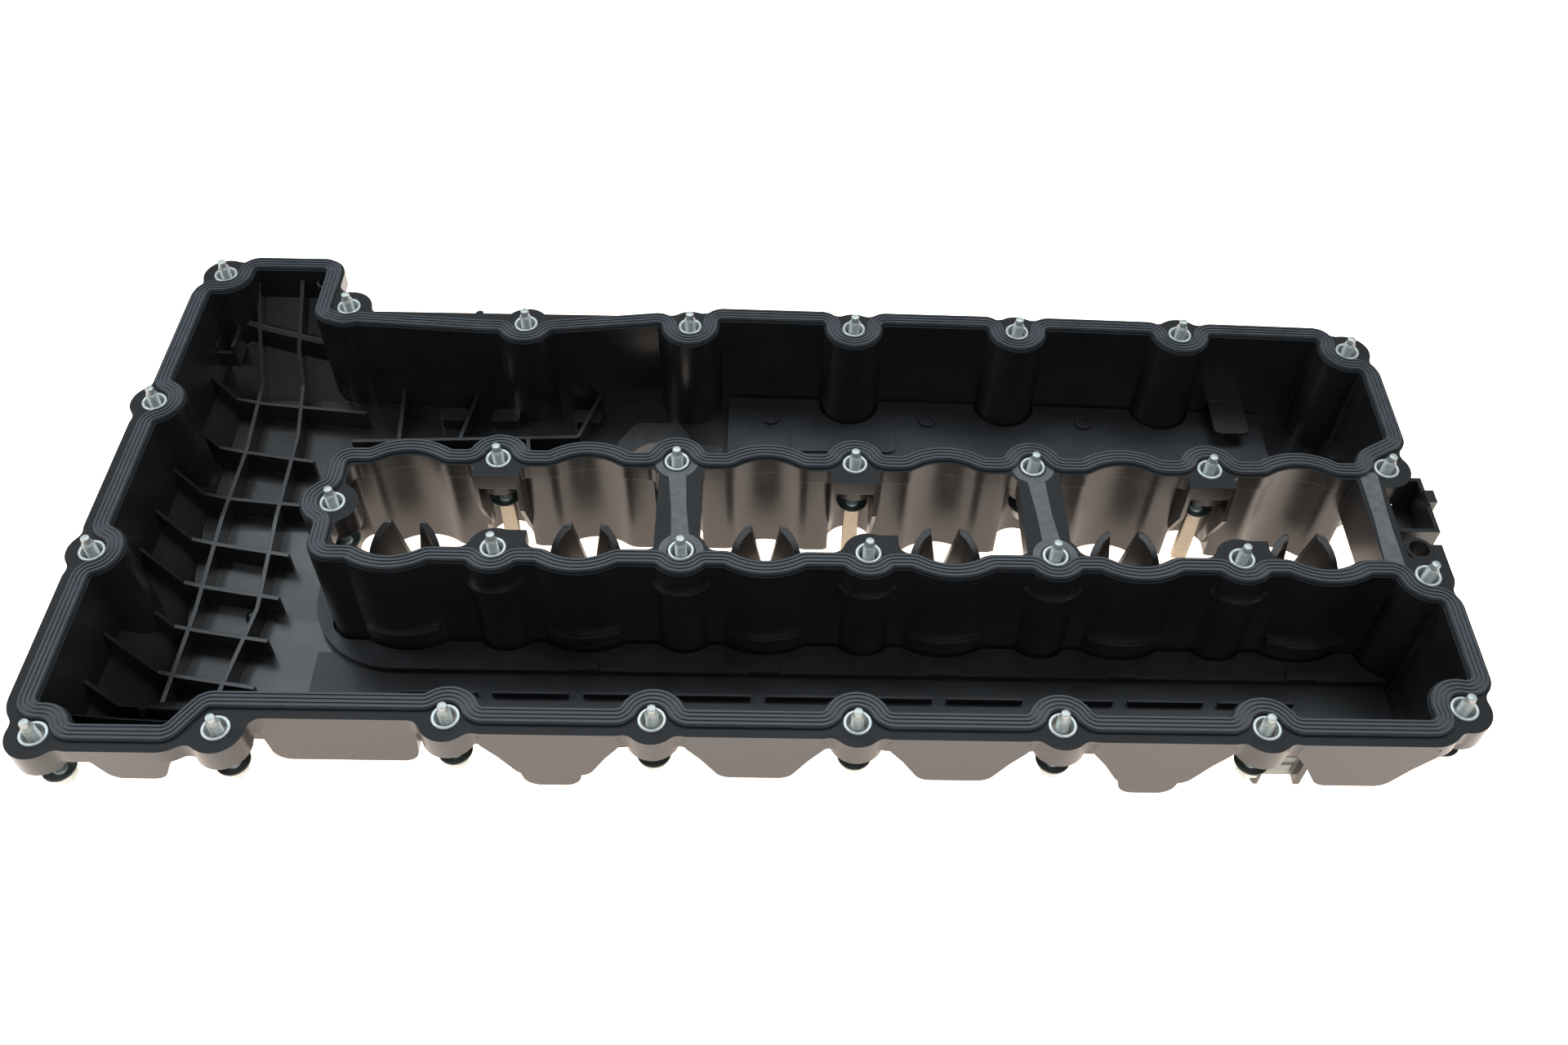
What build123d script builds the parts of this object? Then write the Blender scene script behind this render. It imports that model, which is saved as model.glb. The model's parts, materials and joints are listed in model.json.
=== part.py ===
"""Plastic valve cover of an inline six-cylinder engine, lying on its crown with the gasket side up.

Millimetres, +Z up, X along the crankshaft.  The layout is drawn in an engine frame, whose origin is the
first bolt of the far valley row on the joint face.  Every piece is then moved so that the origin is the
middle of the cover's footprint, on the surface that it lies on.
"""

from build123d import *
from math import hypot
import os

# ---- driving dimensions: engine layout -----------------------------------------------------------
cylinder_pitch = 91.0  # from one bore to the next, and from one rail bolt to the next
cylinder_count = 6
rail_bolts = cylinder_count - 1  # bolts in a full row, one between each two cylinders
plug_lead = 46.0  # from the first far valley bolt to the second spark plug, along X

far_rail_y = 100.9
far_rail_lead = 2.0
valley_far_lead = 0.0
valley_near_y = -58.2
valley_near_lead = 5.0
near_rail_y = -154.1
near_rail_lead = -3.0
valley_y = -31.0  # middle of the spark plug valley

# ---- driving dimensions: ends of the cover --------------------------------------------------------
timing_end_near_x = -188.5  # seal line at the timing end, near corner
timing_end_far_x = -182.5
timing_near_y = -165.0
timing_far_y = 147.3
timing_step_near_x = -116.0
timing_step_far_x = -112.0
near_step_y = -147.0
far_rail_seal_y = 108.5
far_ledge_y = 111.5
far_ledge_nub_x = -25.5
near_rail_seal_y = -153.5
end_reach = 101.5  # from the last rail bolt to the seal line at the open end
valley_nose_x = -80.0

# ---- driving dimensions: section -------------------------------------------------------------------
crown_depth = 72.0  # joint face to the outside of the crown, near side
far_crown_depth = 65.0  # the same on the far side of the valley
foot_height = 4.0  # coil tubes and filler neck stand this far below the crown
wall = 3.0
flange_thickness = 9.0
flange_margin = 5.5  # flange edge outside the seal line
rail_margin = 9.0  # the same along the near rail and the timing end
chamber_margin = 5.0  # chamber edge inside the seal line
corner_radius = 7.0

# ---- driving dimensions: seal ------------------------------------------------------------------------
seal_width = 8.0
seal_proud = 1.6
seal_sunk = 2.0
seal_ridges = 4
seal_ridge_width = 0.9
seal_ridge_height = 0.6
seal_reach = 11.2  # from a bolt's axis to the seal line that runs round it
bar_width = 9.5
bar_waist = 7.6
bar_eye_radius = 11.0
bar_thickness = 1.6  # the bars lie in recesses, flush with the joint face

# ---- driving dimensions: bolts and sleeves -------------------------------------------------------
thread_diameter = 6.0
pilot_diameter = 3.8
pilot_length = 3.2
bolt_proud = 10.0  # tip above the joint face when the bolt hangs in its sleeve
thread_length = 24.0
shank_diameter = 5.2
sleeve_outer = 12.8
sleeve_inner = 9.8
sleeve_proud = 0.8
boss_radius = 12.6
boss_depth = 14.0
bolt_travel = 13.0
seat_gap = 0.6
washer_radius = 8.0
washer_rise = 1.6
washer_thickness = 1.4
hex_across_flats = 10.0
hex_height = 6.0
post_width = 8.0
post_thickness = 4.0
post_gap = 5.0  # from the end of a stud post to the surface below
bolt_clear = 2.4  # free radius round a bolt's washer

# ---- driving dimensions: spark plug valley -------------------------------------------------------
coil_outer = 37.0
coil_wall = 3.0
coil_y = -45.0
coil_web = 3.0
coil_top = 16.0  # rim's highest point below the joint face
coil_rim_drop = 30.0
coil_notch_half = 10.0
plug_bulge_radius = 32.0
plug_bulge = 7.2
pad_reach = 15.0
bridge_width = 17.0
bridge_depth = 9.0
channel_width = 24.0
fin_thickness = 2.2
fin_end = 10.0  # fin tips above the crown's outside

# ---- driving dimensions: chamber fittings --------------------------------------------------------
rib_thickness = 2.2
rib_height = 13.0
near_slope_start = 13.0  # depth of the crown where it meets the near rail
near_slope_run = 50.0
far_slope_start = 14.0
far_slope_run = 60.0
end_slope_start = 24.0
end_slope_run = 34.0
bay_depth = 35.0
bay_step = 9.0
bay_round = 8.0
bay_reach = 34.0
filler_radius = 16.0
filler_wall = 3.5
filler_x = 75.0
filler_y = 46.0
filler_collar = 9.0  # height of its platform
floor_mound_sites = (-44.0, -14.0, 33.0)
tray_clear = 1.2
separator_height = 4.0
separator_wall = 1.6
drain_height = 6.0
drain_ledge = 2.0
drain_sweep = 47.5  # radius of the upper level's corner
drain_notch_radius = 7.5
stake_radius = 5.0

# ---- driving dimensions: timing end fittings ------------------------------------------------------------
corner_tube = (-118.5, 140.0)
corner_tube_radius = 5.0
floor_button = (-129.2, -54.0)
bracket_site = (-174.0, 116.0)

# ---- driving dimensions: open end and clip -------------------------------------------------------
dowel_outer = 13.4
dowel_bore = 10.0
dowel_length = 22.0
clip_width = 17.0
clip_height = 16.0
clip_thickness = 1.6
clip_tab = 1.4  # how far the strap's ends stand out of its two cheeks
clip_lead = 20.0  # from the last near rail bolt, along the rail
clip_inset = 8.0  # and inwards
clip_top = 38.0
hook_reach = 5.0

# ---- driving dimensions: rib grid ----------------------------------------------------------------
timing_cross_ribs = (122.0, 84.0, 46.0, 12.0, -18.0, -44.0, -70.0, -98.0, -126.0, -148.0)
timing_wide_ribs = (84.0, 12.0)  # these two reach past the valley's nose
timing_long_ribs = (  # four points of each, from the far wall to the near one
    ((-158.0, 147.3), (-157.0, 110.0), (-153.0, 48.0), (-157.0, -129.0)),
    ((-132.0, 147.3), (-135.0, 114.0), (-127.0, 60.0), (-124.0, -55.0), (-133.0, -125.0)),
)
timing_rib_bend = -152.0  # where the cross ribs turn
far_floor_walls = (
    ((-74.0, 100.9), (-66.0, 12.0)),
    ((-30.0, 100.9), (-36.0, 60.0)),
    ((-96.0, 56.0), (30.0, 62.0)),
    ((2.0, 60.0), (10.0, 14.0)),
    ((40.0, 96.0), (30.0, 62.0)),
)

# ---- worked out from the above -------------------------------------------------------------------
rail_length = (rail_bolts - 1) * cylinder_pitch
end_x = rail_length + end_reach
floor_top = wall - crown_depth
far_floor_top = wall - far_crown_depth
washer_top = -(boss_depth + bolt_travel + seat_gap)
coil_radius = coil_outer / 2
rest_height = crown_depth + foot_height
plug_centres = [plug_lead + cylinder_pitch * (i - 1) for i in range(cylinder_count)]
big = 900.0  # longer than the cover, for cutting prisms

footprint_left = timing_end_near_x - rail_margin - 1.0
footprint_right = end_x + flange_margin + hook_reach
footprint_near = timing_near_y - boss_radius
footprint_far = timing_far_y + flange_margin


# ---- bolt sites ----------------------------------------------------------------------------------
def row(x_first, y, count, first=0):
    """Bolt centres of one row, one cylinder pitch apart."""
    return [(x_first + cylinder_pitch * k, y) for k in range(first, count)]


far_rail = row(far_rail_lead, far_rail_y, rail_bolts)
near_rail = row(near_rail_lead, near_rail_y, rail_bolts)
valley_far = row(valley_far_lead, 0.0, rail_bolts)
valley_near = row(valley_near_lead, valley_near_y, rail_bolts)

# corner and end bolts: name -> (x, y, direction that the boss faces in degrees)
end_bolts = {
    "timing_far_corner": (-173.2, 137.8, 135),
    "timing_far_end": (-184.9, 36.2, 180),
    "timing_near_end": (-186.3, -63.9, 180),
    "timing_near_corner": (-179.9, -165.6, -120),
    "open_far_corner": (rail_length + 92.9, 89.5, 45),
    "open_valley_far": (rail_length + 91.7, 2.5, 30),
    "open_valley_near": (rail_length + 93.6, -67.0, 0),
    "open_near_corner": (rail_length + 88.5, -142.5, -45),
}
step_bolts = {
    "timing_far_step": (-98.3, 112.5),
    "timing_near_step": (-102.0, -161.5),
    "valley_nose": (-78.0, -30.9),
}


def bolt_sites():
    """Every bolt's name and centre."""
    sites = {}
    rows = {"far_rail": far_rail, "near_rail": near_rail, "valley_far": valley_far, "valley_near": valley_near}
    for name, centres in rows.items():
        for number, centre in enumerate(centres, 1):
            sites[f"{name}_{number}"] = centre
    for name, (x, y, _) in end_bolts.items():
        sites[name] = (x, y)
    sites.update(step_bolts)
    return sites


# ---- small helpers -------------------------------------------------------------------------------
def slab(sketch, top, bottom):
    """A plan shape made solid between two levels."""
    return Pos(0, 0, bottom) * extrude(sketch, top - bottom)


def plan_box(x_low, x_high, y_low, y_high):
    """A rectangle by its edges."""
    return Pos((x_low + x_high) / 2, (y_low + y_high) / 2) * Rectangle(x_high - x_low, y_high - y_low)


def disc(x, y, radius):
    return Pos(x, y) * Circle(radius)


def bite(x, y, direction, radius):
    """A bolt's room, open towards the outside of the cover."""
    way_out = Rot(0, 0, direction) * Pos(radius * 2, 0) * Rectangle(radius * 4, radius * 2)
    return Pos(x, y) * (Circle(radius) + way_out)


def grown(sketch, amount):
    """A plan shape offset outwards, or inwards when the amount is negative."""
    return offset(sketch, amount, kind=Kind.ARC)


def rounded(sketch, radius):
    """Hollow corners rounded first, then outside corners."""
    return grown(grown(grown(sketch, radius), -2 * radius), radius)


def blended(sketch, radius):
    """Hollow corners rounded only."""
    return grown(grown(sketch, radius), -radius)


def side_prism(points, x_low, x_high):
    """An outline in Y and Z, made solid along X."""
    face = Plane.YZ * make_face(Polyline(*points, close=True))
    return Pos(x_low, 0, 0) * extrude(face, x_high - x_low, dir=(1, 0, 0))


def front_prism(points, y_low, y_high):
    """An outline in X and Z, made solid along Y."""
    face = Plane.XZ * make_face(Polyline(*points, close=True))
    return Pos(0, y_low, 0) * extrude(face, y_high - y_low, dir=(0, 1, 0))


def placed(shape):
    """From the engine frame to the part's own frame."""
    centre_x = (footprint_left + footprint_right) / 2
    centre_y = (footprint_near + footprint_far) / 2
    return Pos(-centre_x, -centre_y, rest_height) * shape


# ---- plan shapes ---------------------------------------------------------------------------------
def valley_plan():
    """Inside of the seal line round the spark plug valley, with its wave, open at the flywheel end."""
    plan = plan_box(valley_nose_x, end_x + rail_margin * 3, valley_y - 32.3, valley_y + 31.5)
    for x, y in valley_far:
        plan += disc(x, y, seal_reach)
    for x, y in valley_near:
        plan += disc(x, y, seal_reach - 0.4)
    for x in plug_centres:
        plan += disc(x, plug_bulge - plug_bulge_radius, plug_bulge_radius)
        plan += disc(x, 2 * valley_y - plug_bulge + plug_bulge_radius, plug_bulge_radius)
    nose_x, nose_y = step_bolts["valley_nose"]
    return plan + disc(nose_x, nose_y, seal_reach - 0.4)


def outer_points():
    """Corners of the seal line round the outside."""
    far_lead_x = near_rail_lead + 18.0
    return [
        (timing_end_near_x, timing_near_y),
        (timing_step_near_x - 6.0, timing_near_y),
        (timing_step_near_x + 6.0, near_step_y),
        (near_rail_lead, near_step_y),
        (near_rail_lead, near_rail_seal_y),
        (end_x - 1.5, near_rail_seal_y),
        (end_x, far_rail_seal_y - 6.5),
        (rail_length * 0.82, far_rail_seal_y - 1.5),
        (cylinder_pitch * 1.2, far_rail_seal_y + 2.0),
        (far_lead_x, far_rail_seal_y - 10.0),
        (far_lead_x - 35.0, far_rail_seal_y - 10.5),
        (timing_step_far_x, far_rail_seal_y - 4.5),
        (timing_step_far_x, timing_far_y),
        (timing_end_far_x, timing_far_y),
    ]


def seal_region():
    """Everything inside the seal line: both rail chambers, joined at the timing end."""
    region = make_face(Polyline(*outer_points(), close=True)) - valley_plan()
    for x, y, direction in end_bolts.values():
        region -= bite(x, y, direction, seal_reach)
    for name in ("timing_far_step", "timing_near_step"):
        region -= disc(*step_bolts[name], seal_reach)
    for x, y in near_rail:
        region -= bite(x, y, -90, seal_reach)
    for x, y in far_rail:
        region -= bite(x, y, 90, seal_reach)
    return rounded(region, corner_radius)


def flange_plan(seal):
    """Outline of the flange, with its bolt bosses and the wider rails."""
    plan = grown(seal, flange_margin)
    rail = grown(seal, rail_margin)
    plan += rail & plan_box(footprint_left, end_x, footprint_near, near_rail_seal_y + rail_margin)
    plan += rail & plan_box(footprint_left, timing_end_near_x + rail_margin, footprint_near, 40.0)
    for x, y in bolt_sites().values():
        plan += disc(x, y, boss_radius)
    for x, y in valley_near[::2]:
        plan += plan_box(x, x + pad_reach, y, y + pad_reach - corner_radius / 2)
    return blended(plan, corner_radius - 1.0)


def far_ledge():
    """Straight ledge behind the far rail, from the timing step to the second rail bolt."""
    ledge = plan_box(timing_step_far_x, far_rail[1][0], far_rail_y - 4.0, far_ledge_y)
    return ledge + disc(far_ledge_nub_x, far_ledge_y, 2.2)


def span_strips(inset):
    """Plan boxes over the far valley wall, between its bolts, where the wall stands under the flange's edge."""
    stops = [valley_nose_x - 6.0] + [x for x, _ in valley_far] + [end_x - 12.0]
    margin = channel_width / 2 + inset
    strips = Sketch()
    for left, right in zip(stops, stops[1:]):
        strips += plan_box(left + margin, right - margin, -12.0, 14.0)
    return strips


def crossbar(far_centre, near_centre):
    """A flat bar of the gasket, narrower half way, from one valley row to the other."""
    middle_x = (far_centre[0] + near_centre[0]) / 2
    far_y = far_centre[1]
    near_y = near_centre[1]
    half = bar_width / 2
    outline = [
        (far_centre[0] - half, far_y),
        (middle_x - bar_waist / 2, valley_y),
        (near_centre[0] - half, near_y),
        (near_centre[0] + half, near_y),
        (middle_x + bar_waist / 2, valley_y),
        (far_centre[0] + half, far_y),
    ]
    return make_face(Polyline(*outline, close=True))


def crossbar_plan(seal):
    """Plan of the gasket's three crossbars, outside the seal."""
    flat = Sketch()
    for index in (1, 3):
        flat += crossbar(valley_far[index], valley_near[index])
        for centre in (valley_far[index], valley_near[index]):
            flat += disc(*centre, bar_eye_radius)
    end_bar_x = end_x - 20.0
    flat += crossbar((end_bar_x, 0.0), (end_bar_x - 2.0, valley_near_y - 4.0))
    for x, y in bolt_sites().values():
        flat -= disc(x, y, sleeve_outer / 2 + 0.8)
    return flat - grown(seal, seal_width / 2)


# ---- the shell -----------------------------------------------------------------------------------
def hopper(inset):
    """The space that the crown leaves: it slopes up to the near rail and to the timing end."""
    near_edge = near_rail_seal_y - rail_margin - 2.0
    across = make_face(
        Polyline(
            (near_edge - 30.0, 20.0),
            (near_edge - 30.0, -near_slope_start),
            (near_edge, -near_slope_start),
            (near_edge + near_slope_run, -crown_depth),
            (valley_near_y, -crown_depth),
            (0.0, -far_crown_depth),
            (footprint_far + 20.0, -far_crown_depth),
            (footprint_far + 20.0, 20.0),
            close=True,
        )
    )
    along = make_face(
        Polyline(
            (footprint_left, 20.0),
            (footprint_left, -end_slope_start),
            (footprint_left + end_slope_run, -crown_depth),
            (footprint_right + 60.0, -crown_depth),
            (footprint_right + 60.0, 20.0),
            close=True,
        )
    )
    if inset:
        across = grown(across, -inset)
        along = grown(along, -inset)
    far_end = make_face(
        Polyline(
            (footprint_near - 60.0, 20.0),
            (footprint_near - 60.0, -crown_depth),
            (footprint_far - far_slope_run, -crown_depth),
            (footprint_far, -far_slope_start),
            (footprint_far, 20.0),
            close=True,
        )
    )
    if inset:
        far_end = grown(far_end, -inset)
    far_solid = Pos(-big, 0, 0) * extrude(Plane.YZ * far_end, big + timing_step_far_x + 20.0, dir=(1, 0, 0))
    far_solid += Pos(timing_step_far_x + inset + big / 2, 0, 0) * Box(big, big, big)
    across_solid = Pos(-big / 2, 0, 0) * extrude(Plane.YZ * across, big * 1.5, dir=(1, 0, 0))
    across_solid &= far_solid
    along_solid = Pos(0, -big / 2, 0) * extrude(Plane.XZ * along, big, dir=(0, 1, 0))
    return across_solid & along_solid


def chamber_space(seal):
    """The open inside of the cover."""
    plan = grown(seal, -chamber_margin)
    space = slab(plan, 1.0, floor_top)
    under_flange = grown(seal, flange_margin - 1.0 - wall) & span_strips(wall)
    space += slab(under_flange, -flange_thickness, floor_top)
    return space & hopper(wall)


def shell_body(seal):
    """Walls and crown, still full."""
    plan = grown(seal, wall - chamber_margin)
    plan += grown(seal, flange_margin - 1.0) & span_strips(0.0)
    return slab(plan, 0, -crown_depth) & hopper(0.0)


def below(level):
    """Everything under a level."""
    return Pos(rail_length / 2, 0, level - crown_depth) * Box(2 * big, 2 * big, 2 * crown_depth)


def bay_outline(left, right, depth, lean):
    """Outline of one bay in X and Z, narrower at its foot."""
    return [
        (left, wall),
        (left, -flange_thickness),
        (left + lean * 0.45, -depth * 0.55),
        (left + lean, -depth),
        (right - lean, -depth),
        (right - lean * 0.45, -depth * 0.55),
        (right, -flange_thickness),
        (right, wall),
    ]


def pocket(outline, front_y):
    """(outside, inside) of one bay, which reaches inwards from the rail's face."""
    face = rounded(make_face(Polyline(*outline, close=True)), bay_round)
    body = Pos(0, front_y, 0) * extrude(Plane.XZ * face, bay_reach, dir=(0, 1, 0))
    room = Pos(0, front_y + wall, 0) * extrude(Plane.XZ * grown(face, -wall), bay_reach, dir=(0, 1, 0))
    return body & below(-wall), room & below(-flange_thickness)


def bays():
    """The pockets along the near rail, one between each two bolts, and those of the timing end."""
    margin = boss_radius + 1.5
    rail_face = near_rail_seal_y - rail_margin
    pockets = []
    for number, (x, _) in enumerate(near_rail):
        left = x + margin
        right = x + cylinder_pitch - margin
        pockets.append(pocket(bay_outline(left, right, bay_depth, 16.0), rail_face))
        if number % 3 == 0 and number < rail_bolts - 1:
            deep = bay_outline(left + 11.0, right - 14.0, bay_depth + bay_step, 7.0)
            pockets.append(pocket(deep, rail_face))
    step_left = timing_step_near_x + 28.0
    step_right = near_rail_lead - margin
    pockets.append(pocket(bay_outline(step_left, step_right, bay_depth, 3.0), near_step_y - rail_margin))
    dome_left = timing_end_near_x + 2 * boss_radius
    dome_right = timing_step_near_x - 4.0
    dome = bay_outline(dome_left, dome_right, bay_depth - 6.0, 10.0)
    pockets.append(pocket(dome, timing_near_y - flange_margin))
    return pockets


def coil_tubes():
    """Half-open guide tubes for the ignition coils, with a slanted, notched rim."""
    tubes = []
    low = -crown_depth - foot_height
    for x in plug_centres:
        bore = disc(x, coil_y, coil_radius - coil_wall)
        ring = disc(x, coil_y, coil_radius) - bore
        tube = slab(ring, -coil_top, low)
        rim = side_prism(
            [
                (coil_y - coil_radius - 1.0, 10.0),
                (coil_y - coil_radius - 1.0, -coil_top - coil_rim_drop),
                (coil_y + coil_radius + 1.0, -coil_top + 4.0),
                (coil_y + coil_radius + 1.0, 10.0),
            ],
            x - coil_radius - 1.0,
            x + coil_radius + 1.0,
        )
        notch = front_prism(
            [(x - coil_notch_half, 0.0), (x, -crown_depth + 12.0), (x + coil_notch_half, 0.0)],
            coil_y,
            coil_y + coil_radius + 1.0,
        )
        tubes.append(tube - rim - notch)
        near_wall = 2 * valley_y - plug_bulge - chamber_margin + wall / 2
        for side in (-1, 0, 1):
            web_x = x + side * coil_radius * 0.6
            web = plan_box(web_x - coil_web / 2, web_x + coil_web / 2, near_wall, coil_y - coil_radius * 0.7)
            tubes.append(slab(web, -coil_top - coil_rim_drop - 2.0, low + foot_height) - slab(bore, 0, low))
    return tubes


def bolt_channel(x):
    """The block, window and two fins that frame a stud-headed bolt on the far valley wall."""
    half = channel_width / 2
    block = slab(plan_box(x - half, x + half, -boss_radius, 2.0), 0, -flange_thickness)
    pieces = [block]
    for side, reach in ((-1, 0.0), (1, 6.0)):
        inner = x + side * (half - fin_thickness)
        outer = x + side * half
        fin = side_prism(
            [
                (8.0, -2.0),
                (-boss_radius, -2.0),
                (-boss_radius - reach / 3, -boss_depth - 10.0),
                (2.0, fin_end - far_crown_depth - reach),
                (8.0, fin_end - far_crown_depth - reach),
            ],
            min(inner, outer),
            max(inner, outer),
        )
        pieces.append(fin)
    return pieces


def bridges():
    """Cross beams over the valley, under the crossbars of the gasket."""
    beams = []
    for index in (1, 3):
        left = min(valley_far[index][0], valley_near[index][0]) - bridge_width / 2
        right = left + bridge_width + abs(valley_far[index][0] - valley_near[index][0])
        beams.append(slab(plan_box(left, right, valley_near_y, 0.0), 0, -bridge_depth))
        rib_x = (left + right) / 2
        rib = plan_box(rib_x - fin_thickness, rib_x + fin_thickness, valley_near_y - 2.0, 4.0)
        beams.append(slab(rib, 0, -3 * bridge_depth))
    return beams


def timing_fittings():
    """Small corner tube, domed button and guide bracket at the timing end."""
    tube = disc(*corner_tube, corner_tube_radius) - disc(*corner_tube, corner_tube_radius - 1.4)
    x, y = floor_button
    button = Pos(x, y, floor_top + 2.0) * Sphere(4.0)
    bracket_x, bracket_y = bracket_site
    pieces = [slab(tube, -6.0, -16.0), button]
    for side in (-1, 1):
        left = bracket_x + side * 5.0 - fin_thickness / 2
        rail = plan_box(left, left + fin_thickness, bracket_y - 10.0, bracket_y + 10.0)
        pieces.append(slab(rail, -26.0, -40.0))
    stop = plan_box(bracket_x - 6.0, bracket_x + 6.0, bracket_y - 11.0, bracket_y - 9.0)
    pieces.append(slab(stop, -30.0, -40.0))
    return pieces


def far_end_fittings():
    """Tongue bracket on the far wall and a raised block by the end wall, both inside the far chamber."""
    tongue_x = rail_length + 29.0
    tongue = rounded(plan_box(tongue_x, tongue_x + 20.0, far_rail_y - 28.0, far_rail_y - 6.0), 4.0)
    tongue += plan_box(tongue_x, tongue_x + 20.0, far_rail_y - 12.0, far_rail_y - 1.0)
    level = far_floor_top + rib_height
    pieces = [slab(tongue, level, level - 2.0)]
    block = plan_box(end_x - 9.0, end_x - 2.0, far_rail_y - 44.0, far_rail_y - 10.0)
    pieces.append(slab(block, far_floor_top + rib_height - 4.0, far_floor_top - 1.0))
    return pieces


def open_end():
    """Cross member, hooked pocket and dowel boss at the flywheel end, outside the seal."""
    bar_x = end_x - 20.0
    far_x, far_y, _ = end_bolts["open_valley_far"]
    near_x, near_y, _ = end_bolts["open_valley_near"]
    edge = end_x + flange_margin
    pieces = [slab(plan_box(bar_x - 7.0, bar_x + 6.0, valley_near_y - 6.0, 2.0), 0, -bridge_depth)]
    pieces.append(slab(plan_box(bar_x - 7.0, bar_x - 4.0, valley_near_y - 8.0, 4.0), 0, -28.0))
    plate = plan_box(bar_x, edge, near_y, -46.0) + disc(near_x, near_y, boss_radius)
    pieces.append(slab(plate, -1.5, -1.5 - wall))
    pocket = plan_box(bar_x + 3.0, edge + 2.0, far_y - 40.0, far_y - 4.0)
    rim = pocket - grown(pocket, -fin_thickness)
    pieces.append(slab(rim, -2.0, -24.0))
    pieces.append(slab(pocket & plan_box(bar_x, edge + 3.0, far_y - 24.0, far_y), -21.0, -24.0))
    hook = plan_box(edge, edge + 5.0, far_y - 22.0, far_y - 14.0)
    pieces.append(slab(hook, 0.0, -20.0))
    gusset = side_prism(
        [(far_y - 38.0, -20.0), (far_y - 38.0, -40.0), (far_y - 62.0, -20.0)], edge - 2.0, edge + 0.4
    )
    pieces.append(gusset)
    pieces.append(slab(disc(near_x + 1.0, near_y + 17.5, dowel_outer / 2), -0.5, -dowel_length))
    return pieces


def dowel_site():
    near_x, near_y, _ = end_bolts["open_valley_near"]
    return near_x + 1.0, near_y + 17.5


def wall_lips(seal):
    """Ledges on the near chamber's inner wall: under each bolt boss, and round each coil tube."""
    lips = []
    chamber = grown(seal, -chamber_margin)
    for x, y in valley_near:
        lip = disc(x, y, seal_reach + chamber_margin + 1.6) & chamber
        lips.append(slab(lip, -boss_depth + 1.0, -boss_depth - 1.4))
    for x in plug_centres:
        centre = 2 * valley_y - plug_bulge + plug_bulge_radius
        reach = plug_bulge_radius + chamber_margin + 3.0
        arc = disc(x, centre, reach) - disc(x, centre, reach - 7.0)
        arc = arc & plan_box(x - coil_radius, x + coil_radius, centre - reach, centre)
        lips.append(slab(arc & chamber, -crown_depth + 24.0, -crown_depth + 21.0))
    return lips


def rib_between(start, end):
    """A thin upright rib's plan, from point to point."""
    length = hypot(end[0] - start[0], end[1] - start[1])
    direction = (Vector(*end) - Vector(*start)).get_angle(Vector(1, 0))
    if end[1] < start[1]:
        direction = -direction
    middle = ((start[0] + end[0]) / 2, (start[1] + end[1]) / 2)
    return Pos(*middle) * Rot(0, 0, direction) * Rectangle(length, rib_thickness)


def timing_ribs():
    """Plan of the rib grid on the floor of the timing end."""
    plans = []
    for points in timing_long_ribs:
        plans += [rib_between(start, end) for start, end in zip(points, points[1:])]
    for y in timing_cross_ribs:
        reach = 22.0 if y in timing_wide_ribs else 0.0
        plans.append(rib_between((timing_end_near_x, y + 8.0), (timing_rib_bend, y)))
        plans.append(rib_between((timing_rib_bend, y), (timing_step_far_x - 2.0 + reach, y - 6.0)))
    return plans


def far_floor_ribs():
    """Low walls on the far chamber's floor, before the oil filler."""
    return [rib_between(start, end) for start, end in far_floor_walls]


def chamber_ribs(space):
    """All upright ribs on the chamber floors; they follow the floor at one height."""
    layer = space - Pos(0, 0, rib_height) * space
    grid = Sketch() + (timing_ribs() + far_floor_ribs())
    return slab(grid - filler_platform(), 0, -crown_depth) & layer


def filler_platform():
    """Plan of the raised platform round the oil filler."""
    near, waist, far = filler_y - 26.0, filler_y + 16.0, filler_y + 31.5
    left, right = filler_x - 25.0, filler_x + 37.0
    outline = [(left, near), (left + 2.0, waist), (left + 12.0, far), (left + 36.0, far), (left + 46.0, waist)]
    outline += [(right, waist - 2.0), (right, near)]
    return rounded(make_face(Polyline(*outline, close=True)), 3.0)


def floor_mounds():
    """Low blocks on the far chamber's floor, by the far wall."""
    mounds = []
    for x in floor_mound_sites:
        plan = rounded(plan_box(x - 8.0, x + 8.0, far_rail_y - 22.0, far_rail_y - 12.0), 3.0)
        mounds.append(slab(plan, far_floor_top + 7.0, far_floor_top - 1.0))
    return mounds


def filler_neck():
    """Oil filler neck, down to the surface below."""
    return slab(disc(filler_x, filler_y, filler_radius + filler_wall), far_floor_top, -rest_height)


def sleeve_holes():
    holes = Sketch()
    for x, y in bolt_sites().values():
        holes += disc(x, y, sleeve_outer / 2)
    return slab(holes, 5.0, -boss_depth - 1.0)


def washer_rooms():
    """Free space for each bolt's washer and head below its boss."""
    rooms = Sketch()
    for x, y in bolt_sites().values():
        rooms += disc(x, y, washer_radius + bolt_clear)
    return slab(rooms, -boss_depth, -crown_depth - 20.0)


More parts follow.
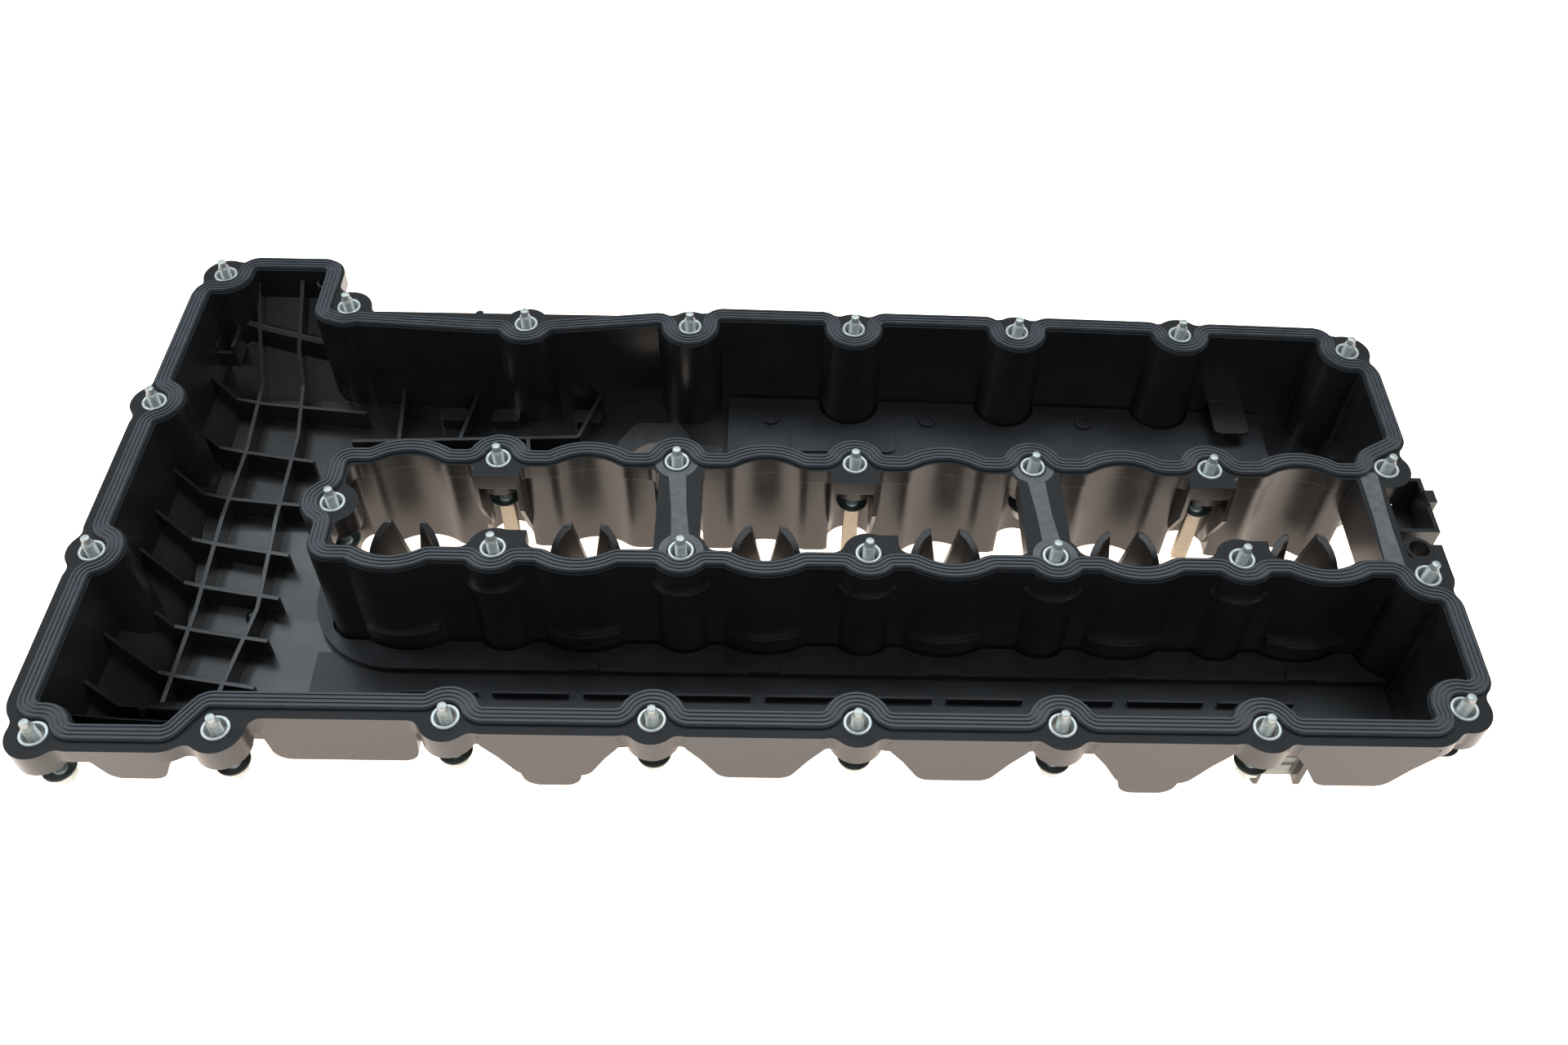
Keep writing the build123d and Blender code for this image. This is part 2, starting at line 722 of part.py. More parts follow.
def cover_shell():
    seal = seal_region()
    space = chamber_space(seal)
    flange = slab(flange_plan(seal) - grown(seal, -chamber_margin), 0, -flange_thickness)
    ledge = slab(far_ledge() - grown(seal, -chamber_margin), -2.0, -flange_thickness)
    outside, inside = zip(*bays())
    bosses = [slab(disc(*centre, boss_radius), 0, -boss_depth) for centre in bolt_sites().values()]
    shell = shell_body(seal) + [flange, ledge, filler_neck(), *outside, *bosses]
    shell = shell - [space, *inside]
    fittings = bridges() + open_end() + coil_tubes() + clip_gussets()
    for index in (0, 2, 4):
        fittings += bolt_channel(valley_far[index][0])
    fittings = [piece - space for piece in fittings]
    fittings += wall_lips(seal) + far_end_fittings()
    fittings.append(slab(filler_platform(), far_floor_top + filler_collar, -far_crown_depth))
    fittings += timing_fittings() + floor_mounds()
    fittings.append(chamber_ribs(space))
    shell = shell + fittings
    groove = grown(seal, seal_width / 2) - grown(seal, -seal_width / 2)
    cuts = [
        slab(groove, 1.0, -seal_sunk),
        slab(crossbar_plan(seal), 1.0, -bar_thickness),
        slab(disc(filler_x, filler_y, filler_radius), 0, -rest_height - 1.0),
        washer_rooms(),
        sleeve_holes(),
        slab(disc(*dowel_site(), dowel_bore / 2), 1.0, -dowel_length - 1.0),
    ]
    return shell - cuts


# ---- gasket --------------------------------------------------------------------------------------
def gasket():
    """One rubber moulding: ridged seal and three flat crossbars."""
    seal = seal_region()
    band = grown(seal, seal_width / 2) - grown(seal, -seal_width / 2)
    body = slab(band, seal_proud, -seal_sunk)
    edge = seal_width / 2 - seal_ridge_width
    for number in range(seal_ridges):
        centre = edge * (2 * number / (seal_ridges - 1) - 1)
        ridge = grown(seal, centre + seal_ridge_width / 2) - grown(seal, centre - seal_ridge_width / 2)
        body += slab(ridge, seal_proud + seal_ridge_height, seal_proud)
    return body + slab(crossbar_plan(seal), 0.0, -bar_thickness)


# ---- sleeves and bolts ---------------------------------------------------------------------------
def sleeve(x, y):
    ring = disc(x, y, sleeve_outer / 2) - disc(x, y, sleeve_inner / 2)
    tube = slab(ring, sleeve_proud, -boss_depth)
    return chamfer(tube.edges().group_by(Axis.Z)[-1], 0.35)


def bolt_outline():
    """Half section of a bolt with its cupped washer: radius and height above the joint face."""
    pilot = pilot_diameter / 2
    thread = thread_diameter / 2
    shank = shank_diameter / 2
    shoulder = bolt_proud - pilot_length
    return [
        (0.0, bolt_proud),
        (pilot - 0.5, bolt_proud),
        (pilot, bolt_proud - 0.5),
        (pilot, shoulder),
        (thread, shoulder - (thread - pilot)),
        (thread, shoulder - thread_length),
        (shank, shoulder - thread_length - 0.4),
        (shank, washer_top - washer_rise),
        (washer_radius * 0.55, washer_top - washer_rise),
        (washer_radius - 0.8, washer_top),
        (washer_radius, washer_top),
        (washer_radius, washer_top - 0.8),
        (washer_radius * 0.6, washer_top - washer_rise - washer_thickness),
        (0.0, washer_top - washer_rise - washer_thickness),
    ]


def bolt(x, y, with_post):
    """One captive bolt: pilot tip, thread, cupped washer, and a hexagon or a stud post below it."""
    section = Plane.XZ * make_face(Polyline(*bolt_outline(), close=True))
    body = revolve(section, Axis.Z)
    head_top = washer_top - washer_rise - washer_thickness
    if with_post:
        flare = hex_height * 0.7
        cone = Solid.make_cone(post_width / 2, washer_radius * 0.7, flare)
        body += Pos(0, 0, head_top - flare) * cone
        post = Rectangle(post_width, post_thickness)
        body += slab(post, head_top - flare + 1.0, post_gap - rest_height)
    else:
        hexagon = RegularPolygon(hex_across_flats / 2, 6, major_radius=False)
        head = slab(hexagon, head_top, head_top - hex_height)
        body += chamfer(head.edges().group_by(Axis.Z)[0], 0.7)
    return Pos(x, y, 0) * body


# ---- trays and clip ------------------------------------------------------------------------------
def separator_tray(seal):
    """Oil separator lid on the far chamber's floor; its far edge follows the bolt bosses."""
    left = filler_x + 39.0
    right = rail_length + 60.0
    room = grown(seal, -chamber_margin - tray_clear)
    plan = room & plan_box(left, right, far_rail_y - 46.0, far_rail_y + 30.0)
    low = far_floor_top
    tray = slab(plan, low + separator_height, low)
    tray -= slab(grown(plan, -separator_wall), low + separator_height - separator_wall, low)
    top = low + separator_height
    for index in range(1, 4):
        x, y = far_rail[index][0] + cylinder_pitch / 2, far_rail_y - 14.0
        tray += slab(disc(x, y, stake_radius), top + 1.6, top)
        tray -= slab(disc(x, y, stake_radius - 1.6), top + 1.6, top + 0.4)
    raised = plan_box(left + 36.0, left + 96.0, far_rail_y - 40.0, far_rail_y - 22.0)
    return tray + slab(rounded(raised, 4.0), top + 1.2, top)


def drain_tray(seal):
    """Two-level floor panel of the near chamber, with a half-round hump at each spark plug."""
    room = grown(seal, -chamber_margin - tray_clear)
    step_y = valley_near_y - 28.5
    sweep_x, sweep_y = valley_nose_x + drain_sweep - 17.5, step_y + drain_sweep
    sweep = disc(sweep_x, sweep_y, drain_sweep) & plan_box(-big, sweep_x, step_y, sweep_y + 4.0)
    upper = room & (plan_box(sweep_x, end_x - 12.0, step_y, valley_near_y) + sweep)
    lower = room & plan_box(valley_nose_x - 11.0, end_x - 12.0, step_y - 22.0, step_y + 12.0)
    tray = slab(upper, floor_top + drain_height, floor_top)
    tray += slab(lower, floor_top + drain_ledge, floor_top)
    slope_start = valley_near_y - 0.4  # the floor rises from here to the far side
    under = [(slope_start, floor_top), (0.0, far_floor_top + 0.2), (0.0, -crown_depth), (slope_start, -crown_depth)]
    tray -= side_prism(under, -big, sweep_x + drain_sweep)
    for x in plug_centres[1:]:
        hump = disc(x, step_y + 1.0, drain_notch_radius) & upper
        tray += slab(hump, floor_top + drain_height + 1.2, floor_top + drain_height)
    dash_pitch = cylinder_pitch / 2
    count = int((end_x - valley_nose_x - 60.0) / dash_pitch)
    for number in range(count):
        x = valley_nose_x + 36.0 + number * dash_pitch
        dash = plan_box(x, x + dash_pitch - 7.5, step_y - 14.0, step_y - 12.4)
        tray += slab(dash, floor_top + drain_ledge + 4.0, floor_top + drain_ledge)
    return tray


def clip_site():
    x, y = near_rail[-1]
    return x + clip_lead, y + clip_inset


def clip_strap(thickness):
    """The strap's plate, which runs through both cheeks."""
    x, y = clip_site()
    half = clip_width / 2 + wall + clip_tab
    return slab(plan_box(x - half, x + half, y, y + thickness), -clip_top, -clip_top - clip_height)


def clip_gussets():
    """Two moulded cheeks that hold the metal clip under the near rail."""
    x, y = clip_site()
    top = -clip_top + 6.0
    foot = -clip_top - clip_height - 2.0
    cheeks = []
    for side in (-1, 1):
        left = x + side * (clip_width + wall) / 2 - wall / 2
        outline = [(y - 4.0, top), (y - 4.0, foot), (y + 8.0, foot), (y + 22.0, foot + 10.0), (y + 22.0, top)]
        cheeks.append(side_prism(outline, left, left + wall) - clip_strap(clip_thickness))
    return cheeks


def retaining_clip():
    """Spring steel strap with a pressed bead along its middle."""
    x, y = clip_site()
    bead = Pos(x, y, -clip_top - clip_height / 2) * Rot(0, 90, 0) * Cylinder(clip_thickness, clip_width - 4.0)
    return clip_strap(clip_thickness) + bead


def write(node, shape):
    os.makedirs("parts", exist_ok=True)
    shape = placed(shape)
    shape.label = node
    export_step(shape, f"parts/{node}.step")


def main():
    seal = seal_region()
    write("cover_shell", cover_shell())
    write("gasket", gasket())
    write("separator_tray", separator_tray(seal))
    write("drain_tray", drain_tray(seal))
    write("retaining_clip", retaining_clip())
    sites = bolt_sites()
    write("sleeves", Compound([sleeve(x, y) for x, y in sites.values()]))
    posts = [f"valley_far_{number}" for number in (1, 3, 5)]
    for name, (x, y) in sites.items():
        write(f"bolt_{name}", bolt(x, y, name in posts))


main()
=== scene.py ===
# %% [markdown]
# # A plastic valve cover, upside down
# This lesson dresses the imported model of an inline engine's valve cover: a black moulded shell with a
# rubber gasket, steel sleeves and thirty-one captive bolts that hang in their sleeves. Every piece made
# here goes where that frame says, in metres, and rides on one of its bodies. Vertices closer than the weld
# distance are one. A face whose normal has more than the share called level along an axis counts as facing
# that way.

# %% Load the frame
import bpy
import bmesh
import json
import math
import random
from mathutils import Matrix, Vector

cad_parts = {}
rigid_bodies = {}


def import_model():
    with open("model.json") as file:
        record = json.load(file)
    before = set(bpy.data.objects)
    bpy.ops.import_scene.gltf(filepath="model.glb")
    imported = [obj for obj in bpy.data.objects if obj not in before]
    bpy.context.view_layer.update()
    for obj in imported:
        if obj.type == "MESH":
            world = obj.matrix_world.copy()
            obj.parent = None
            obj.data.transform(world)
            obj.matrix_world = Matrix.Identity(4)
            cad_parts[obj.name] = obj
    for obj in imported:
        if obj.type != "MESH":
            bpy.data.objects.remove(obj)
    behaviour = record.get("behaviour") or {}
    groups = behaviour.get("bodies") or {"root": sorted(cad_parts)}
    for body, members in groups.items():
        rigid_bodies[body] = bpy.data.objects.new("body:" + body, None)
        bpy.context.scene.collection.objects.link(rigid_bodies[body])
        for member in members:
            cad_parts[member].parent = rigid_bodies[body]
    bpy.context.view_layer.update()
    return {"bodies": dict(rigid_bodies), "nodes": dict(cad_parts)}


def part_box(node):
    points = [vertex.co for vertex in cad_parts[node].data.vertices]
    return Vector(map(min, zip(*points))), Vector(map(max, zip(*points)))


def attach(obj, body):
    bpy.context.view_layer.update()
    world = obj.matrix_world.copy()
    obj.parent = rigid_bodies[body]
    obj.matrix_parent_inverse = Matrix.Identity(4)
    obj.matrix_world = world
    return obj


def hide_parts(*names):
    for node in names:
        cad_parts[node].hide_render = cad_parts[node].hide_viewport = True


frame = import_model()
scene = bpy.context.scene
mm = 0.001
weld_distance = 0.002 * mm
level = 0.9

# %% [markdown]
# ## Small helpers for working by hand
# Blender's operators act on whatever is selected, and the loaded nodes arrive selected. So each step first
# clears the selection, then makes one object active. Edit mode is entered and left in the same way each
# time.

# %% Selection and edit mode


def only(obj):
    """Makes obj the one selected and active object."""
    if bpy.context.object and bpy.context.object.mode != "OBJECT":
        bpy.ops.object.mode_set(mode="OBJECT")
    bpy.ops.object.select_all(action="DESELECT")
    obj.select_set(True)
    bpy.context.view_layer.objects.active = obj
    return obj


def edit(obj):
    """Opens obj in edit mode and returns its editable mesh."""
    only(obj)
    bpy.ops.object.mode_set(mode="EDIT")
    return bmesh.from_edit_mesh(obj.data)


def leave_edit():
    bpy.ops.object.mode_set(mode="OBJECT")


def pick_faces(obj, test):
    """In edit mode, selects the faces whose centre and normal pass the test, and no others."""
    bpy.ops.mesh.select_mode(type="FACE")
    bpy.ops.mesh.select_all(action="DESELECT")
    mesh = bmesh.from_edit_mesh(obj.data)
    picked = 0
    for face in mesh.faces:
        if test(face.calc_center_median(), face.normal):
            face.select_set(True)
            picked += 1
    bmesh.update_edit_mesh(obj.data)
    return picked


def apply_modifiers(obj):
    only(obj)
    for modifier in list(obj.modifiers):
        bpy.ops.object.modifier_apply(modifier=modifier.name)
    return obj


def joined(name, pieces):
    """Joins several objects into the first one and names it."""
    only(pieces[0])
    for piece in pieces[1:]:
        piece.select_set(True)
    bpy.ops.object.join()
    obj = bpy.context.object
    obj.name = name
    obj.data.name = name
    return obj


def smooth(obj, degrees):
    only(obj)
    bpy.ops.object.shade_smooth_by_angle(angle=math.radians(degrees))
    return obj


def bevelled(obj, width, segments, degrees):
    """Rounds the edges that turn by more than the angle; the width is in millimetres."""
    bevel = obj.modifiers.new("soft edges", "BEVEL")
    bevel.width = width * mm
    bevel.segments = segments
    bevel.limit_method = "ANGLE"
    bevel.angle_limit = math.radians(degrees)
    return apply_modifiers(obj)


def give_second_slot(obj, material, test):
    """Adds a material to obj and gives it to the faces that pass the test."""
    obj.data.materials.append(material)
    edit(obj)
    picked = pick_faces(obj, test)
    obj.active_material_index = 1
    bpy.ops.object.material_slot_assign()
    leave_edit()
    return picked


print("helpers ready")

# %% [markdown]
# ## Turning a profile on a lathe
# Bolts, washers and sleeves are round. A circle primitive gives a closed loop with the right number of
# points, each point is moved to its place on the half section, and the spin operator sweeps the loop round
# the axis. Points that meet on the axis are merged afterwards, and the normals are turned outwards.

# %% Lathe helper


def lathe(name, profile, steps):
    """A closed half section of (radius, height) in millimetres, spun round Z."""
    bpy.ops.object.select_all(action="DESELECT")
    bpy.ops.mesh.primitive_circle_add(vertices=len(profile), radius=mm, fill_type="NOTHING")
    obj = bpy.context.object
    obj.name = name
    mesh = edit(obj)
    mesh.verts.ensure_lookup_table()
    for vertex, (radius, height) in zip(mesh.verts, profile):
        vertex.co = (radius * mm, 0.0, height * mm)
    bmesh.update_edit_mesh(obj.data)
    bpy.ops.mesh.select_all(action="SELECT")
    bpy.ops.mesh.spin(steps=steps, angle=2 * math.pi, center=(0, 0, 0), axis=(0, 0, 1))
    bpy.ops.mesh.select_all(action="SELECT")
    bpy.ops.mesh.remove_doubles(threshold=weld_distance)
    bpy.ops.mesh.normals_make_consistent(inside=False)
    leave_edit()
    return obj


print("lathe ready")

# %% [markdown]
# ## Shared effects as node groups
# Moulded plastic and plated steel share three effects: a fine grain from the mould, broad patches where
# the surface is a little duller, and small marks from handling. Each is a node group with named inputs, so
# every material can place it with its own values. A group puts out only masks and heights that vary over
# the surface.

# %% Group helper


def new_group(name, inputs, outputs):
    group = bpy.data.node_groups.new(name, "ShaderNodeTree")
    for label, default in inputs:
        socket = group.interface.new_socket(label, in_out="INPUT", socket_type="NodeSocketFloat")
        socket.default_value = default
    for label in outputs:
        group.interface.new_socket(label, in_out="OUTPUT", socket_type="NodeSocketFloat")
    return group, group.nodes.new("NodeGroupInput"), group.nodes.new("NodeGroupOutput")


def maths(tree, operation, first, second):
    """A maths node; each side is a socket or a number."""
    node = tree.nodes.new("ShaderNodeMath")
    node.operation = operation
    for slot, value in enumerate((first, second)):
        if isinstance(value, (int, float)):
            node.inputs[slot].default_value = value
        else:
            tree.links.new(value, node.inputs[slot])
    return node.outputs[0]


def object_noise(tree, scale, detail, roughness=0.5):
    """Noise on Object coordinates, with a scale that is a socket or a number."""
    place = tree.nodes.new("ShaderNodeTexCoord").outputs["Object"]
    noise = tree.nodes.new("ShaderNodeTexNoise")
    noise.inputs["Detail"].default_value = detail
    noise.inputs["Roughness"].default_value = roughness
    tree.links.new(place, noise.inputs["Vector"])
    if isinstance(scale, (int, float)):
        noise.inputs["Scale"].default_value = scale
    else:
        tree.links.new(scale, noise.inputs["Scale"])
    return noise.outputs["Fac"]


print("group helper ready")

# %% Mould grain: a fine leathery height
mould_grain, grain_in, grain_out = new_group(
    "mould grain", [("Scale", 2600.0), ("Coarse", 0.35)], ["Height"]
)
fine = object_noise(mould_grain, grain_in.outputs["Scale"], 3.0, 0.6)
broad_scale = maths(mould_grain, "MULTIPLY", grain_in.outputs["Scale"], 0.12)
broad = object_noise(mould_grain, broad_scale, 2.0)
weighted = maths(mould_grain, "MULTIPLY", broad, grain_in.outputs["Coarse"])
mould_grain.links.new(maths(mould_grain, "ADD", fine, weighted), grain_out.inputs["Height"])

# %% Dull patches: slow changes of gloss and shade
dull_patches, patch_in, patch_out = new_group("dull patches", [("Scale", 28.0), ("Contrast", 2.2)], ["Mask"])
cloud = object_noise(dull_patches, patch_in.outputs["Scale"], 5.0, 0.62)
centred = maths(dull_patches, "SUBTRACT", cloud, 0.5)
spread = maths(dull_patches, "MULTIPLY", centred, patch_in.outputs["Contrast"])
lifted = maths(dull_patches, "ADD", spread, 0.5)
patch_limit = dull_patches.nodes.new("ShaderNodeClamp")
dull_patches.links.new(lifted, patch_limit.inputs["Value"])
dull_patches.links.new(patch_limit.outputs[0], patch_out.inputs["Mask"])

# %% Handling marks: sparse specks and short rubs
handling_marks, mark_in, mark_out = new_group(
    "handling marks", [("Scale", 240.0), ("Amount", 0.5)], ["Mask"]
)
speck = object_noise(handling_marks, mark_in.outputs["Scale"], 6.0, 0.7)
allowance = maths(handling_marks, "MULTIPLY", mark_in.outputs["Amount"], 0.16)
threshold = maths(handling_marks, "SUBTRACT", 0.78, allowance)
above = maths(handling_marks, "SUBTRACT", speck, threshold)
steep = maths(handling_marks, "MULTIPLY", above, 12.0)
mark_limit = handling_marks.nodes.new("ShaderNodeClamp")
handling_marks.links.new(steep, mark_limit.inputs["Value"])
handling_marks.links.new(mark_limit.outputs[0], mark_out.inputs["Mask"])
print("groups", [group.name for group in bpy.data.node_groups])

# %% [markdown]
# ## Materials
# One helper sets up the shader that all finishes share. The numbers that stay the same all over a surface
# are set on the shader's own sockets. Only colour, roughness and the bump height come from the groups.

# %% Material helper


def place_group(tree, group, **values):
    node = tree.nodes.new("ShaderNodeGroup")
    node.node_tree = group
    for label, value in values.items():
        node.inputs[label].default_value = value
    return node.outputs[0]


def blend_colours(tree, mask, low, high):
    mix = tree.nodes.new("ShaderNodeMix")
    mix.data_type = "RGBA"
    tree.links.new(mask, mix.inputs["Factor"])
    for label, colour in (("A", low), ("B", high)):
        socket = [s for s in mix.inputs if s.name == label and s.type == "RGBA"][0]
        if isinstance(colour, tuple):
            socket.default_value = (*colour, 1.0)
        else:
            tree.links.new(colour, socket)
    return [s for s in mix.outputs if s.type == "RGBA"][0]


def spread_value(tree, mask, low, high):
    """A mask from 0 to 1 turned into a value from low to high."""
    spread_node = tree.nodes.new("ShaderNodeMapRange")
    tree.links.new(mask, spread_node.inputs["Value"])
    spread_node.inputs["To Min"].default_value = low
    spread_node.inputs["To Max"].default_value = high
    return spread_node.outputs["Result"]


def finish_of(
    name, dark, light, gloss, grain, metallic=0.0, marks=None, patch=28.0, round_edge=0.0, **sockets
):
    """A material: two shades, a range of roughness, grain as (scale, coarse, depth in mm) and marks."""
    material = bpy.data.materials.new(name)
    material.use_nodes = True
    tree = material.node_tree
    shader = tree.nodes["Principled BSDF"]
    shader.inputs["Metallic"].default_value = metallic
    for label, value in sockets.items():
        shader.inputs[label.replace("_", " ")].default_value = value
    mask = place_group(tree, dull_patches, Scale=patch)
    colour = blend_colours(tree, mask, dark, light)
    roughness = spread_value(tree, mask, *gloss)
    if marks:
        amount, mark_colour = marks
        speckle = place_group(tree, handling_marks, Amount=amount)
        colour = blend_colours(tree, speckle, colour, mark_colour)
        roughness = maths(tree, "ADD", roughness, maths(tree, "MULTIPLY", speckle, 0.18))
    tree.links.new(colour, shader.inputs["Base Color"])
    tree.links.new(roughness, shader.inputs["Roughness"])
    scale, coarse, depth = grain
    bump = tree.nodes.new("ShaderNodeBump")
    bump.inputs["Strength"].default_value = 1.0
    bump.inputs["Distance"].default_value = depth * mm
    tree.links.new(place_group(tree, mould_grain, Scale=scale, Coarse=coarse), bump.inputs["Height"])
    if round_edge:
        edge = tree.nodes.new("ShaderNodeBevel")
        edge.samples = 4
        edge.inputs["Radius"].default_value = round_edge * mm
        tree.links.new(edge.outputs["Normal"], bump.inputs["Normal"])
    tree.links.new(bump.outputs["Normal"], shader.inputs["Normal"])
    return material


# %% [markdown]
# The shell is glass-filled nylon: near black, satin, a little lighter where the fibres show. The trays are
# the same stuff with a rougher, stippled face. The rubber is a dull blue grey. The steel is zinc plated,
# the cupped washers are phosphated dark, and the stud posts have a warm chromate tint.

# %% The finishes
cover_plastic = finish_of(
    "satin nylon", (0.011, 0.0108, 0.011), (0.019, 0.0185, 0.0185), (0.24, 0.36),
    grain=(2400.0, 0.5, 0.012), marks=(0.05, (0.045, 0.044, 0.043)), round_edge=0.45,
    Specular_IOR_Level=0.6,
)
flange_plastic = finish_of(
    "dull flange nylon", (0.008, 0.0085, 0.009), (0.016, 0.017, 0.018), (0.5, 0.68),
    grain=(1900.0, 0.7, 0.03), marks=(0.3, (0.05, 0.05, 0.05)), round_edge=0.5, Specular_IOR_Level=0.3,
)
tray_plastic = finish_of(
    "stippled nylon", (0.013, 0.014, 0.016), (0.026, 0.028, 0.031), (0.34, 0.5),
    grain=(1500.0, 0.8, 0.06), marks=(0.3, (0.08, 0.08, 0.08)), round_edge=0.35,
)
seal_rubber = finish_of(
    "seal rubber", (0.032, 0.038, 0.045), (0.06, 0.068, 0.078), (0.42, 0.6),
    grain=(3000.0, 0.6, 0.05), marks=(0.5, (0.16, 0.165, 0.17)), patch=90.0,
)
bar_rubber = finish_of(
    "crossbar rubber", (0.07, 0.075, 0.078), (0.15, 0.155, 0.16), (0.55, 0.75),
    grain=(1800.0, 1.0, 0.05), marks=(0.6, (0.22, 0.22, 0.22)), patch=220.0,
)
zinc_plate = finish_of(
    "zinc plate", (0.44, 0.48, 0.46), (0.62, 0.66, 0.63), (0.38, 0.55), metallic=0.45,
    grain=(3200.0, 0.4, 0.012), patch=160.0,
)
dark_phosphate = finish_of(
    "dark phosphate", (0.07, 0.082, 0.078), (0.13, 0.145, 0.14), (0.34, 0.48), metallic=0.55,
    grain=(2600.0, 0.6, 0.015), patch=200.0,
)
warm_chromate = finish_of(
    "warm chromate", (0.4, 0.35, 0.26), (0.56, 0.51, 0.41), (0.4, 0.58), metallic=0.4,
    grain=(2200.0, 0.6, 0.015), patch=170.0,
)
sleeve_steel = finish_of(
    "turned sleeve", (0.5, 0.54, 0.53), (0.7, 0.74, 0.73), (0.34, 0.5), metallic=0.45,
    grain=(3600.0, 0.2, 0.01), patch=240.0,
)
clip_steel = finish_of(
    "clip phosphate", (0.16, 0.18, 0.17), (0.27, 0.3, 0.285), (0.34, 0.5), metallic=0.6,
    grain=(2400.0, 0.5, 0.015), patch=150.0,
)
print("materials", [material.name for material in bpy.data.materials])

# %% [markdown]
# ## The moulded pieces
# The shell, its two trays and the gasket have their right shape already. Their meshes come as loose
# triangles, so their curved walls would look faceted. The node's own mesh is left as it is, so a copy is
# made, its doubles are merged, and it is shaded smooth wherever two faces meet at a shallow angle.

# %% Copy, merge and smooth
moulded_edge_angle = 28


def welded_copy(node, name, material):
    """A merged and smoothly shaded copy of a node, which then stands for it."""
    source = frame["nodes"][node]
    piece = bpy.data.objects.new(name, source.data.copy())
    scene.collection.objects.link(piece)
    piece.data.materials.clear()
    piece.data.materials.append(material)
    edit(piece)
    bpy.ops.mesh.select_all(action="SELECT")
    bpy.ops.mesh.customdata_custom_splitnormals_clear()
    bpy.ops.mesh.remove_doubles(threshold=weld_distance)
    bpy.ops.mesh.dissolve_degenerate(threshold=weld_distance / 2)
    leave_edit()
    smooth(piece, moulded_edge_angle)
    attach(piece, "cover")
    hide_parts(node)
    print(name, "triangles", sum(len(p.vertices) - 2 for p in piece.data.polygons))
    return piece


shell = welded_copy("cover_shell", "moulded_cover", cover_plastic)
welded_copy("separator_tray", "separator_lid", tray_plastic)
welded_copy("drain_tray", "drain_panel", tray_plastic)
seal = welded_copy("gasket", "rubber_gasket", seal_rubber)

# %% [markdown]
# The flange is moulded with a duller face than the polished walls, so that the rubber seats well. Its
# faces are the ones that lie level with the joint face or in the grooves just below it, and look straight
# up.

# %% The flange gets a duller finish
joint_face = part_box("cover_shell")[1].z
groove_depth = 2.5 * mm
flange_faces = give_second_slot(
    shell, flange_plastic, lambda centre, normal: centre.z > joint_face - groove_depth and normal.z > level
)
print("flange faces", flange_faces)

# %% [markdown]
# The crossbars belong to the same rubber moulding as the seal, but they are flat, dry and mottled. Their
# faces lie level with the joint face, below the ridges of the seal, so they are picked by height and given
# their own material slot.

# %% Crossbars get their own finish
height_slack = 0.05 * mm
bar_faces = give_second_slot(
    seal, bar_rubber, lambda centre, normal: abs(centre.z - joint_face) < height_slack and normal.z > level
)
print("crossbar faces", bar_faces)

# %% [markdown]
# ## One captive bolt
# Each bolt is an M6 screw with a thin pilot tip, a dark cupped washer and a hexagon, or on three of them a
# flat stud post. The thread is a real helix: the Screw modifier sweeps one tooth of the thread round the
# axis, and each open end is gathered to a point. The rest is turned on the lathe.

# %% Sizes of a bolt, from its node's box
sample_low, sample_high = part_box("bolt_near_rail_1")
post_low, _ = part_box("bolt_valley_far_1")
tip = sample_high.z / mm
thread_radius, root_radius, pitch = 3.0, 2.46, 1.0
pilot_radius, pilot_length = 2.15, 3.2
thread_turns = 23
thread_top = tip - pilot_length - 0.7
thread_end = thread_top - (thread_turns + 1) * pitch
shank_radius, collar_radius = 2.6, 3.4
head_low = sample_low.z / mm
head_height, across_flats = 6.0, 10.0
washer_radius = (sample_high.x - sample_low.x) / 2 / mm
washer_height, washer_bore = 3.0, 2.65
washer_low = head_low + head_height
washer_top = washer_low + washer_height
post_width, post_thickness = 8.0, 4.0
print("tip", round(tip, 2), "washer radius", round(washer_radius, 2))
print("washer from", round(washer_low, 2), "to", round(washer_top, 2))

# %% The thread


